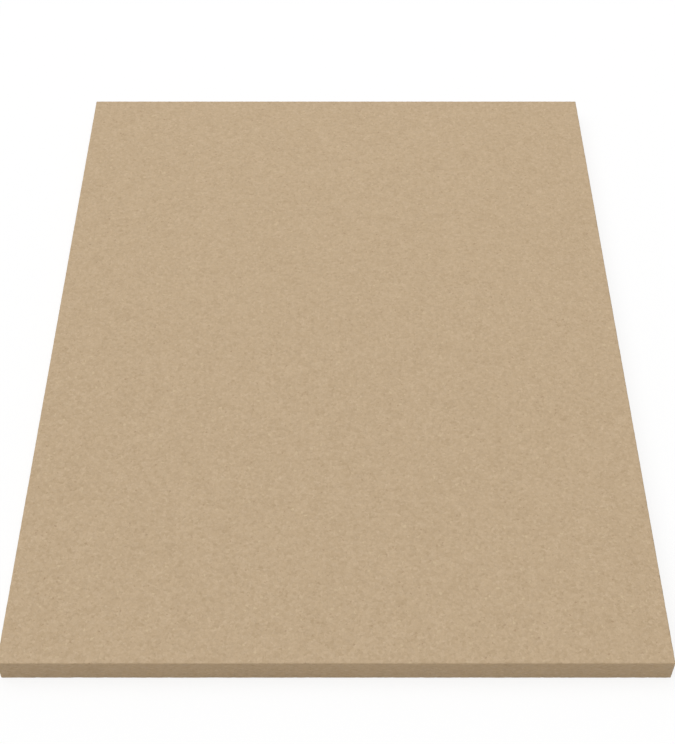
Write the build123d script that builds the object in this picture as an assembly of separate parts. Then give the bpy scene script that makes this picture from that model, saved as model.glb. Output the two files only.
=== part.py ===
from build123d import *

import os

# Vermiculite fire board: one flat slab of expanded vermiculite flakes, hot-pressed with a mineral binder
# between flat platens and sawn to a stock size. It is a single piece, with no core, skin or layer.
# Millimetres, +Z up. The origin is the middle of the underside. X runs across the board and Y along it.

# The sawn size of the board
BOARD_LENGTH = 800.0
BOARD_WIDTH = 600.0
BOARD_THICKNESS = 25.0

# The pressed flakes crumble a little where two faces meet, so no edge is a knife edge
CORNER_RADIUS = 1.2  # the four upright edges, each between two saw cuts
ARRIS_RADIUS = 0.8  # the edges between a pressed face and a saw cut, on both faces


def fire_board():
    """The sawn outline carried up through the thickness, with the arrises of both pressed faces eased."""
    outline = RectangleRounded(BOARD_WIDTH, BOARD_LENGTH, CORNER_RADIUS)
    slab = extrude(outline, BOARD_THICKNESS)
    pressed_faces = slab.faces().filter_by(Axis.Z)
    return fillet(pressed_faces.edges(), ARRIS_RADIUS)


os.makedirs("parts", exist_ok=True)
export_step(fire_board(), "parts/fire_board.step")
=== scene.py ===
import math

import bpy
import numpy as np
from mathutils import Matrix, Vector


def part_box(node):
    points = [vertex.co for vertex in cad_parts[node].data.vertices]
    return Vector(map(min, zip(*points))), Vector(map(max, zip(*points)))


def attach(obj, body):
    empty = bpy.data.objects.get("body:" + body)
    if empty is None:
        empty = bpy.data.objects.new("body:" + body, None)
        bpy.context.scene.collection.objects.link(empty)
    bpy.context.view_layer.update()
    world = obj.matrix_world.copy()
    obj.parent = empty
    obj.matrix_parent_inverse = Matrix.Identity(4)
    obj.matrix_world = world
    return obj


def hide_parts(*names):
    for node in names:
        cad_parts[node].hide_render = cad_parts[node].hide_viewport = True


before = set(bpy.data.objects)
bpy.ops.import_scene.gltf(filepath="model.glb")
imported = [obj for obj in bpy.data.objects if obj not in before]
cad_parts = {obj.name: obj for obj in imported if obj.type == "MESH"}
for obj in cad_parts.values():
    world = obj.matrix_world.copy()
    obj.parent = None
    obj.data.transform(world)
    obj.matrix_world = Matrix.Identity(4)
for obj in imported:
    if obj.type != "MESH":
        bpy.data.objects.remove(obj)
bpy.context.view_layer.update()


# Fire board
# One slab of expanded vermiculite flakes, hot-pressed with a mineral binder between flat platens and sawn to
# a stock size. The flakes lie flat in it, so both faces have a smooth pressed skin, and the four sawn edges
# show the flakes end on, with small chips broken out along the arrises.
board_low, board_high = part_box("fire_board")
WIDTH, LENGTH, THICKNESS = board_high - board_low
MM = 0.001
CORNER_RADIUS = 1.2 * MM  # of the four upright edges, as in the solid
ARRIS_RADIUS = 0.8 * MM  # of the edges round both faces, as in the solid

# Columns on a short side, a long side and a corner, about 1.1 mm apart along the sides. With two of each side
# and four corners they are 2560 in all, which the rings of a face halve six times.
SHORT_STEPS, LONG_STEPS, CORNER_STEPS = 541, 723, 8


def sawn_outline():
    """The outline in plan, column by column: the centre that each point is set out from, and its direction.

    A point of the outline is its centre plus the corner radius along its direction. The centre moves along
    the straight sides and stands still at a corner, where the direction turns by 90 degrees.
    """
    knots = np.cumsum([0] + [SHORT_STEPS, CORNER_STEPS, LONG_STEPS, CORNER_STEPS] * 2)
    column = np.arange(knots[-1])
    side_x = np.array([-1, 1, 1, 1, 1, -1, -1, -1, -1]) * (WIDTH / 2 - CORNER_RADIUS)
    side_y = np.array([-1, -1, -1, 1, 1, 1, 1, -1, -1]) * (LENGTH / 2 - CORNER_RADIUS)
    turn = np.radians(np.interp(column, knots, [-90, -90, 0, 0, 90, 90, 180, 180, 270]))
    centre = np.column_stack([np.interp(column, knots, side_x), np.interp(column, knots, side_y)])
    outward = np.column_stack([np.cos(turn), np.sin(turn)])
    return centre, outward


ARRIS_STEPS, CUT_STEPS = 4, 22  # rows round each arris and down the cut between them


def edge_profile():
    """The edge in section, row by row: the angle that the skin faces at, and the height it is set out from.

    The skin faces straight up where the edge starts and straight down where it ends. It turns by 90 degrees
    round each arris, about a centre that stands still, and faces sideways down the cut, as the centre moves.
    """
    knots = np.cumsum([0, ARRIS_STEPS, CUT_STEPS, ARRIS_STEPS])
    row = np.arange(knots[-1] + 1)
    lean = np.radians(np.interp(row, knots, [90, 0, 0, -90]))
    top_curve, low_curve = THICKNESS - ARRIS_RADIUS, ARRIS_RADIUS
    curve_height = np.interp(row, knots, [top_curve, top_curve, low_curve, low_curve])
    return lean[:, None], curve_height[:, None]


def smooth_noise(seed, along, across, cells):
    """Random heights from 0 to 1 on a lattice that closes round the board, joined by smooth steps.

    along and across run from 0 to 1, and cells is the number of lattice cells each way. A point's height is
    the mean of the four lattice heights round it, each weighted by how near it is.
    """
    heights = np.random.default_rng(seed).random(cells)
    cell_a, part_a = np.divmod(along * cells[0], 1)
    cell_b, part_b = np.divmod(across * cells[1], 1)
    a, b = cell_a.astype(int) % cells[0], cell_b.astype(int) % cells[1]
    next_a, next_b = (a + 1) % cells[0], (b + 1) % cells[1]
    ease_a = part_a * part_a * (3 - 2 * part_a)
    ease_b = part_b * part_b * (3 - 2 * part_b)
    here = heights[a, b] * (1 - ease_a) + heights[next_a, b] * ease_a
    beyond = heights[a, next_b] * (1 - ease_a) + heights[next_a, next_b] * ease_a
    return here * (1 - ease_b) + beyond * ease_b


# What the saw breaks away, all of it inwards so that the board keeps its size: shallow tears between the
# flakes of the cut, and chips out of the arrises
TEAR_LENGTH, TEAR_HEIGHT, TEAR_DEPTH = 3.4 * MM, 1.9 * MM, 0.25 * MM
CHIP_LENGTH, CHIP_DEPTH = 2.6 * MM, 0.6 * MM
CHIPPED_SHARE = 0.35  # of the arris that is broken at all
TEAR_SEED, CHIP_SEED = 3, 5


def broken_depth(columns, lean, curve_height):
    """How far the skin is broken in at each row and column: the depth of the tears plus that of the chips.

    Tears are a smooth noise down and along the cut, which fades out round the arrises. Chips are the highest
    share of a noise along each arris, deepest halfway round it.
    """
    girth = 2 * (WIDTH + LENGTH)
    along = np.linspace(0, 1, columns, endpoint=False)
    descent = 1 - curve_height / THICKNESS
    tear_cells = (round(girth / TEAR_LENGTH), round(THICKNESS / TEAR_HEIGHT))
    tears = smooth_noise(TEAR_SEED, along, descent, tear_cells)
    arris_number = np.round(descent)
    chip_cells = (round(girth / CHIP_LENGTH), 2)
    chips = smooth_noise(CHIP_SEED, along, arris_number / 2, chip_cells)
    chips = np.clip((chips - 1 + CHIPPED_SHARE) / CHIPPED_SHARE, 0, 1)
    return TEAR_DEPTH * tears * np.cos(lean) + CHIP_DEPTH * chips * np.sin(2 * np.abs(lean))


def edge_rings(centre, outward, lean, curve_height):
    """Rings of points round the edge, from the flat of the top face down to the flat of the underside.

    A point goes out from its centre to the middle of the arris's curve, and on from there by the arris
    radius, less the broken depth, at the angle that the skin faces at.
    """
    radius = ARRIS_RADIUS - broken_depth(len(centre), lean, curve_height)
    reach = CORNER_RADIUS - ARRIS_RADIUS + radius * np.cos(lean)
    height = curve_height + radius * np.sin(lean)
    return np.concatenate([centre + reach[:, :, None] * outward, height[:, :, None]], axis=2)


# The flat of a face: rings of the arris line shrunk towards the middle, each with half the columns of the
# one outside it, so that the faces stay about as wide as they are long
FACE_INSETS = np.array([2, 4, 8, 16, 32, 64, 128]) * MM


def face_rings(centre, outward, level):
    """Rings of a flat face from the outside in: the arris line, scaled so that its sides lie at an inset."""
    arris_line = centre + (CORNER_RADIUS - ARRIS_RADIUS) * outward
    half = np.array([WIDTH, LENGTH]) / 2
    shrunk = [arris_line * (half - inset) / (half - ARRIS_RADIUS) for inset in FACE_INSETS]
    kept = [ring[:: 2**number] for number, ring in enumerate(shrunk)]
    return [np.column_stack([ring, np.full(len(ring), level)]) for ring in kept]


def faces_between(rings):
    """Four corner numbers for each face between a ring and the next, one face to a column of the finer ring.

    The rings run from the middle of the top face, over the edge, to the middle of the underside. Where a ring
    has half the columns, every other face has two corners on the same point there, and is a triangle.
    """
    starts = np.cumsum([0] + [len(ring) for ring in rings])
    strips = []
    for upper, lower, start, next_start in zip(rings, rings[1:], starts, starts[1:]):
        finer = max(len(upper), len(lower))
        column = np.arange(finer + 1)
        above = start + column * len(upper) // finer % len(upper)
        below = next_start + column * len(lower) // finer % len(lower)
        strips.append(np.column_stack([above[:-1], below[:-1], below[1:], above[1:]]))
    return np.concatenate(strips)


centre, outward = sawn_outline()
lean, curve_height = edge_profile()
sawn_rings = edge_rings(centre, outward, lean, curve_height)
top_rings = face_rings(centre, outward, THICKNESS)
under_rings = face_rings(centre, outward, 0.0)
rings = [*reversed(top_rings), *sawn_rings, *under_rings]
points = np.concatenate(rings)
faces = faces_between(rings)
lost_above = faces[:, 0] == faces[:, 3]
lost_below = faces[:, 1] == faces[:, 2]
quads = faces[~lost_above & ~lost_below]
triangles = np.concatenate([faces[lost_above][:, :3], faces[lost_below][:, [0, 1, 3]]])
top_middle = np.arange(len(rings[0]))
under_middle = len(points) - 1 - np.arange(len(rings[-1]))
board_mesh = bpy.data.meshes.new("fire_board_skin")
board_mesh.from_pydata(
    points.tolist(),
    [],
    quads.tolist() + triangles.tolist() + [top_middle.tolist(), under_middle.tolist()],
)
board_mesh.shade_smooth()

# How much of the saw's cut a point is on: nothing on the pressed faces, all of it on the sawn edges
face_points = sum(len(ring) for ring in top_rings)
saw_cut = np.pad(np.broadcast_to(np.cos(lean), sawn_rings.shape[:2]).ravel(), face_points)
board_mesh.attributes.new("saw_cut", "FLOAT", "POINT").data.foreach_set("value", saw_cut)

STRIP_PITCH = (LENGTH - WIDTH) / 4
STRIP_GAP = 2 * MM


def bake_places(mesh, points):
    """The place of each face's corners on the map that the finish is baked on, a square as long as the board.

    Both pressed faces have the same finish and share one area, and each sawn edge has a strip beside them, as
    long as the map and stretched across. A face goes with the side of the board that it faces most.
    """
    normals = np.zeros(len(mesh.polygons) * 3, np.float32)
    mesh.polygons.foreach_get("normal", normals)
    normal_x, normal_y, normal_z = normals.reshape(-1, 3).T
    pressed = np.abs(normal_z) > np.maximum(np.abs(normal_x), np.abs(normal_y))
    sideways = np.abs(normal_x) > np.abs(normal_y)
    top, underside, front, right, back, left = range(6)
    side = np.select(
        [pressed & (normal_z > 0), pressed, sideways & (normal_x > 0), sideways, normal_y > 0],
        [top, underside, right, left, back],
        front,
    )
    corner_count = np.zeros(len(mesh.polygons), np.int32)
    mesh.polygons.foreach_get("loop_total", corner_count)
    corner_point = np.zeros(len(mesh.loops), np.int32)
    mesh.loops.foreach_get("vertex_index", corner_point)
    corner_side = np.repeat(side, corner_count)
    x, y, z = points[corner_point].T
    from_left, from_right = x + WIDTH / 2, WIDTH / 2 - x
    from_front, from_back = y + LENGTH / 2, LENGTH / 2 - y
    stretched = z * (STRIP_PITCH - 2 * STRIP_GAP) / THICKNESS
    strips = [WIDTH + STRIP_GAP + number * STRIP_PITCH + stretched for number in range(4)]
    drawn_out = LENGTH / WIDTH
    across = np.choose(corner_side, [from_left, from_right, *strips])
    along = np.choose(
        corner_side,
        [from_front, from_front, from_left * drawn_out, from_front, from_right * drawn_out, from_back],
    )
    return np.column_stack([across, along]) / LENGTH


bake_map = board_mesh.uv_layers.new(name="OFBake")  # the name of the map that the finish is baked on
bake_map.uv.foreach_set("vector", bake_places(board_mesh, points).ravel())


def linear(colour):
    """An sRGB hex colour as linear light and alpha: a straight line near black, a power of 2.4 above it."""
    shown = np.array([int(colour[start : start + 2], 16) for start in (1, 3, 5)]) / 255
    light = np.where(shown > 0.04045, ((shown + 0.055) / 1.055) ** 2.4, shown / 12.92)
    return (*light.tolist(), 1.0)


def bare_tree(owner):
    """The node tree of a new material or world, with nothing in it yet."""
    owner.use_nodes = True
    owner.node_tree.nodes.clear()
    return owner.node_tree


def add_node(tree, kind, inputs, **settings):
    """Adds a node with these settings, and fills each input with a value or with a link from an output."""
    made = tree.nodes.new(kind)
    for name, value in settings.items():
        setattr(made, name, value)
    for name, value in inputs.items():
        if isinstance(value, bpy.types.NodeSocket):
            tree.links.new(value, made.inputs[name])
        else:
            made.inputs[name].default_value = value
    return made


# Pressed vermiculite: flakes of expanded mica, flattened in the press. The eye sees a dry matte tan with a
# fine fleck of paler and browner flakes, some that shine a little and a few dark ones. On the cuts the same
# flakes show end on, as short level streaks.
FLAKE_WIDTH, CRUMB_WIDTH, GRAIN_WIDTH = 2.8 * MM, 1.7 * MM, 0.5 * MM
FLATTENING = 2.9  # how many times wider than thick the press leaves them
RAGGED_SIZE, RAGGED_REACH = 2.4 * MM, 2.8 * MM  # the noise that makes their outlines ragged
CLOUD_SIZE = 16 * MM  # of the patches where the mix is a little paler or browner
vermiculite = bpy.data.materials.new("pressed_vermiculite")
tree = bare_tree(vermiculite)
place = add_node(tree, "ShaderNodeTexCoord", {}).outputs["Object"]
flattened = add_node(
    tree, "ShaderNodeVectorMath", {0: place, 1: (1, 1, FLATTENING)}, operation="MULTIPLY"
).outputs["Vector"]
ragged = add_node(
    tree, "ShaderNodeTexNoise", {"Vector": flattened, "Scale": 1 / RAGGED_SIZE}
).outputs["Color"]
flake_place = add_node(
    tree,
    "ShaderNodeVectorMath",
    {0: ragged, 1: (RAGGED_REACH,) * 3, 2: flattened},
    operation="MULTIPLY_ADD",
).outputs["Vector"]
flakes, crumbs, grains = (
    add_node(tree, "ShaderNodeTexVoronoi", {"Vector": flake_place, "Scale": 1 / width}).outputs
    for width in (FLAKE_WIDTH, CRUMB_WIDTH, GRAIN_WIDTH)
)
flake_draw, crumb_draw, grain_draw = (
    add_node(tree, "ShaderNodeSeparateColor", {"Color": cells["Color"]}).outputs
    for cells in (flakes, crumbs, grains)
)
clouds = add_node(tree, "ShaderNodeTexNoise", {"Vector": place, "Scale": 1 / CLOUD_SIZE}).outputs["Fac"]

# Each flake, crumb and grain has its own tone, and soft clouds run through all of them
FLAKE_SHARE, CRUMB_SHARE, GRAIN_SHARE, CLOUD_SHARE = 0.4, 0.38, 0.22, 0.33
TONES = [(0.0, "#ae9675"), (0.25, "#b79f7f"), (0.5, "#bca484"), (0.75, "#c1a989"), (1.0, "#c8b091")]
tone = -CLOUD_SHARE / 2
for draw, share in (
    (flake_draw["Red"], FLAKE_SHARE),
    (crumb_draw["Red"], CRUMB_SHARE),
    (grain_draw["Red"], GRAIN_SHARE),
    (clouds, CLOUD_SHARE),
):
    tone = add_node(
        tree, "ShaderNodeMath", {0: draw, 1: share, 2: tone}, operation="MULTIPLY_ADD"
    ).outputs["Value"]
toned = add_node(tree, "ShaderNodeValToRGB", {"Fac": tone})
ramp = toned.color_ramp.elements
ramp.remove(ramp[1])
ramp[0].color = linear(TONES[0][1])
for position, shade in TONES[1:]:
    ramp.new(position).color = linear(shade)

# A few crumbs of dark mica and flakes of pale gold, each as strong as its own draw is high. The saw bares all
# of them a shade yellower than the pressed skin.
DARK_SHARE, DARK_MICA = 0.015, "#a98f70"
GOLD_SHARE, GOLD_MICA = 0.02, "#c6af8c"
SAWN_TINT = "#fefaf3"
MIX_COLOUR_A, MIX_COLOUR_B, MIXED_COLOUR = 6, 7, 2  # a Mix node's colour sockets, which share their names
colour = toned.outputs["Color"]
for draw, share, mica in (
    (crumb_draw["Blue"], DARK_SHARE, DARK_MICA),
    (flake_draw["Blue"], GOLD_SHARE, GOLD_MICA),
):
    presence = add_node(
        tree, "ShaderNodeMapRange", {"Value": draw, "From Min": 1 - share}
    ).outputs["Result"]
    colour = add_node(
        tree,
        "ShaderNodeMix",
        {"Factor": presence, MIX_COLOUR_A: colour, MIX_COLOUR_B: linear(mica)},
        data_type="RGBA",
    ).outputs[MIXED_COLOUR]
cut = add_node(tree, "ShaderNodeAttribute", {}, attribute_name="saw_cut").outputs["Fac"]
colour = add_node(
    tree,
    "ShaderNodeMix",
    {"Factor": cut, MIX_COLOUR_A: colour, MIX_COLOUR_B: linear(SAWN_TINT)},
    data_type="RGBA",
    blend_type="MULTIPLY",
).outputs[MIXED_COLOUR]

# Each flake is tilted a little in its own direction, so that its height rises along a random slope across it,
# and the crumbs on it are rounded off towards their outlines
EVEN_DRAW = (0.5, 0.5, 0.5)  # the draw of a flake that lies level
TO_HALF_WIDTHS = 2 / FLAKE_WIDTH  # turns metres into half widths of a flake
ROUNDING = 0.5  # how much the crumbs' rounding counts beside the flakes' tilt
PRESSED_RELIEF, SAWN_RELIEF = 0.10 * MM, 0.22 * MM
slope = add_node(
    tree, "ShaderNodeVectorMath", {0: flakes["Color"], 1: EVEN_DRAW}, operation="SUBTRACT"
).outputs["Vector"]
from_middle = add_node(
    tree, "ShaderNodeVectorMath", {0: flake_place, 1: flakes["Position"]}, operation="SUBTRACT"
).outputs["Vector"]
rise = add_node(
    tree, "ShaderNodeVectorMath", {0: from_middle, 1: slope}, operation="DOT_PRODUCT"
).outputs["Value"]
rounded = add_node(
    tree, "ShaderNodeMath", {0: crumbs["Distance"], 1: -ROUNDING}, operation="MULTIPLY"
).outputs["Value"]
relief = add_node(
    tree, "ShaderNodeMath", {0: rise, 1: TO_HALF_WIDTHS, 2: rounded}, operation="MULTIPLY_ADD"
).outputs["Value"]
relief_depth = add_node(
    tree, "ShaderNodeMapRange", {"Value": cut, "To Min": PRESSED_RELIEF, "To Max": SAWN_RELIEF}
).outputs["Result"]
bump = add_node(tree, "ShaderNodeBump", {"Height": relief, "Distance": relief_depth}).outputs["Normal"]

# Dry and matte, with the binder's index of refraction. The gold flakes shine most, as bare mica does.
DULL_ROUGHNESS, MICA_ROUGHNESS = 0.95, 0.6
BINDER_IOR = 1.5
roughness = add_node(
    tree,
    "ShaderNodeMapRange",
    {"Value": flake_draw["Blue"], "To Min": DULL_ROUGHNESS, "To Max": MICA_ROUGHNESS},
).outputs["Result"]
skin = add_node(
    tree,
    "ShaderNodeBsdfPrincipled",
    {"Base Color": colour, "Roughness": roughness, "Normal": bump, "IOR": BINDER_IOR},
).outputs["BSDF"]
add_node(tree, "ShaderNodeOutputMaterial", {"Surface": skin})
board_mesh.materials.append(vermiculite)


def add_object(name, data):
    """Puts a mesh, a lamp or a camera into the scene, at the origin, and returns its object."""
    added = bpy.data.objects.new(name, data)
    bpy.context.scene.collection.objects.link(added)
    return added


board = add_object("fire_board_pressed", board_mesh)
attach(board, "root")
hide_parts("fire_board")


# Floor
# A plain pale studio floor with matte paint, which the board lies on. It lights the sawn edges as such a
# floor does, and the camera sees it white, with the board's soft shadow.
FLOOR_SIZE = 60.0
FLOOR_COLOUR = "#f1f1f1"
SHADOW_SHARE = 0.22  # of the floor's white that comes from the light on it, and goes with the shadow


def seen_rays(tree):
    """Marks the rays that bring a thing into the picture, straight, reflected or through glass.

    The mark is the largest of the three outputs for such rays, each of which is 0 or 1.
    """
    ray = add_node(tree, "ShaderNodeLightPath", {}).outputs
    seen = ray["Is Camera Ray"]
    for kind in ("Is Glossy Ray", "Is Transmission Ray"):
        seen = add_node(
            tree, "ShaderNodeMath", {0: seen, 1: ray[kind]}, operation="MAXIMUM"
        ).outputs["Value"]
    return seen


floor_mesh = bpy.data.meshes.new("studio_floor")
floor_corners = FLOOR_SIZE / 2 * np.array([[-1, -1, 0], [1, -1, 0], [1, 1, 0], [-1, 1, 0]])
floor_mesh.from_pydata(floor_corners.tolist(), [], [[0, 1, 2, 3]])
paint = bpy.data.materials.new("matte_floor_paint")
tree = bare_tree(paint)
lit = add_node(tree, "ShaderNodeBsdfDiffuse", {"Color": linear(FLOOR_COLOUR)}).outputs["BSDF"]
shaded = add_node(tree, "ShaderNodeBsdfDiffuse", {"Color": (SHADOW_SHARE,) * 3 + (1.0,)}).outputs["BSDF"]
glow = add_node(tree, "ShaderNodeEmission", {"Strength": 1 - SHADOW_SHARE}).outputs["Emission"]
white = add_node(tree, "ShaderNodeAddShader", {0: shaded, 1: glow}).outputs["Shader"]
coat = add_node(tree, "ShaderNodeMixShader", {"Fac": seen_rays(tree), 1: lit, 2: white}).outputs["Shader"]
add_node(tree, "ShaderNodeOutputMaterial", {"Surface": coat})
floor_mesh.materials.append(paint)
floor = add_object("studio_floor", floor_mesh)


# Studio light
# One very broad soft light above, a little to the left, and a weak even light from all round, so that the top
# face renders in its own colour and the sawn edges are about a third darker. A weak panel behind the board
# lifts its far end a little.
SKY_COLOUR = "#ffffff"
SKY_LIGHT, SKY_SEEN = 0.31, 1.0  # how strong it is as light, and as the backdrop that the picture shows
OVERHEAD_LIGHT, OVERHEAD_SPREAD, OVERHEAD_TILT = 2.08, math.radians(80), math.radians(-12)
PANEL_LIGHT, PANEL_SIZE, PANEL_PLACE, PANEL_TILT = 2.4, 1.2, (0.0, 1.5, 1.4), math.radians(-43)
sky = bpy.data.worlds.new("studio")
tree = bare_tree(sky)
strength = add_node(
    tree, "ShaderNodeMapRange", {"Value": seen_rays(tree), "To Min": SKY_LIGHT, "To Max": SKY_SEEN}
).outputs["Result"]
backdrop = add_node(
    tree, "ShaderNodeBackground", {"Color": linear(SKY_COLOUR), "Strength": strength}
).outputs["Background"]
add_node(tree, "ShaderNodeOutputWorld", {"Surface": backdrop})
bpy.context.scene.world = sky
overhead_lamp = bpy.data.lights.new("overhead", "SUN")
overhead_lamp.energy = OVERHEAD_LIGHT
overhead_lamp.angle = OVERHEAD_SPREAD
overhead = add_object("overhead", overhead_lamp)
overhead.rotation_euler = (0.0, OVERHEAD_TILT, 0.0)
panel_lamp = bpy.data.lights.new("rear_panel", "AREA")
panel_lamp.energy = PANEL_LIGHT
panel_lamp.size = PANEL_SIZE
panel = add_object("rear_panel", panel_lamp)
panel.location = PANEL_PLACE
panel.rotation_euler = (PANEL_TILT, 0.0, 0.0)
bpy.context.scene.view_settings.view_transform = "Standard"


# Camera
# It stands in front of the middle of a short side and looks down on the board, as in the photograph, where
# the board is a little to the left of the picture's middle. Its place, angle and lens are fitted to the
# board's outline there.
CAMERA_PLACE = (0.0, -1.056, 1.1452)
LOOK_DOWN = math.radians(48.21)
LENS, SENSOR = 69.77, 36.0
PICTURE_HEIGHT, BOARD_TO_LEFT = 744, 1.5  # in pixels
camera_data = bpy.data.cameras.new("camera")
camera_data.lens = LENS
camera_data.sensor_width = SENSOR
camera_data.shift_x = BOARD_TO_LEFT / PICTURE_HEIGHT
camera = add_object("camera", camera_data)
camera.location = CAMERA_PLACE
camera.rotation_euler = (math.radians(90) - LOOK_DOWN, 0.0, 0.0)
bpy.context.scene.camera = camera
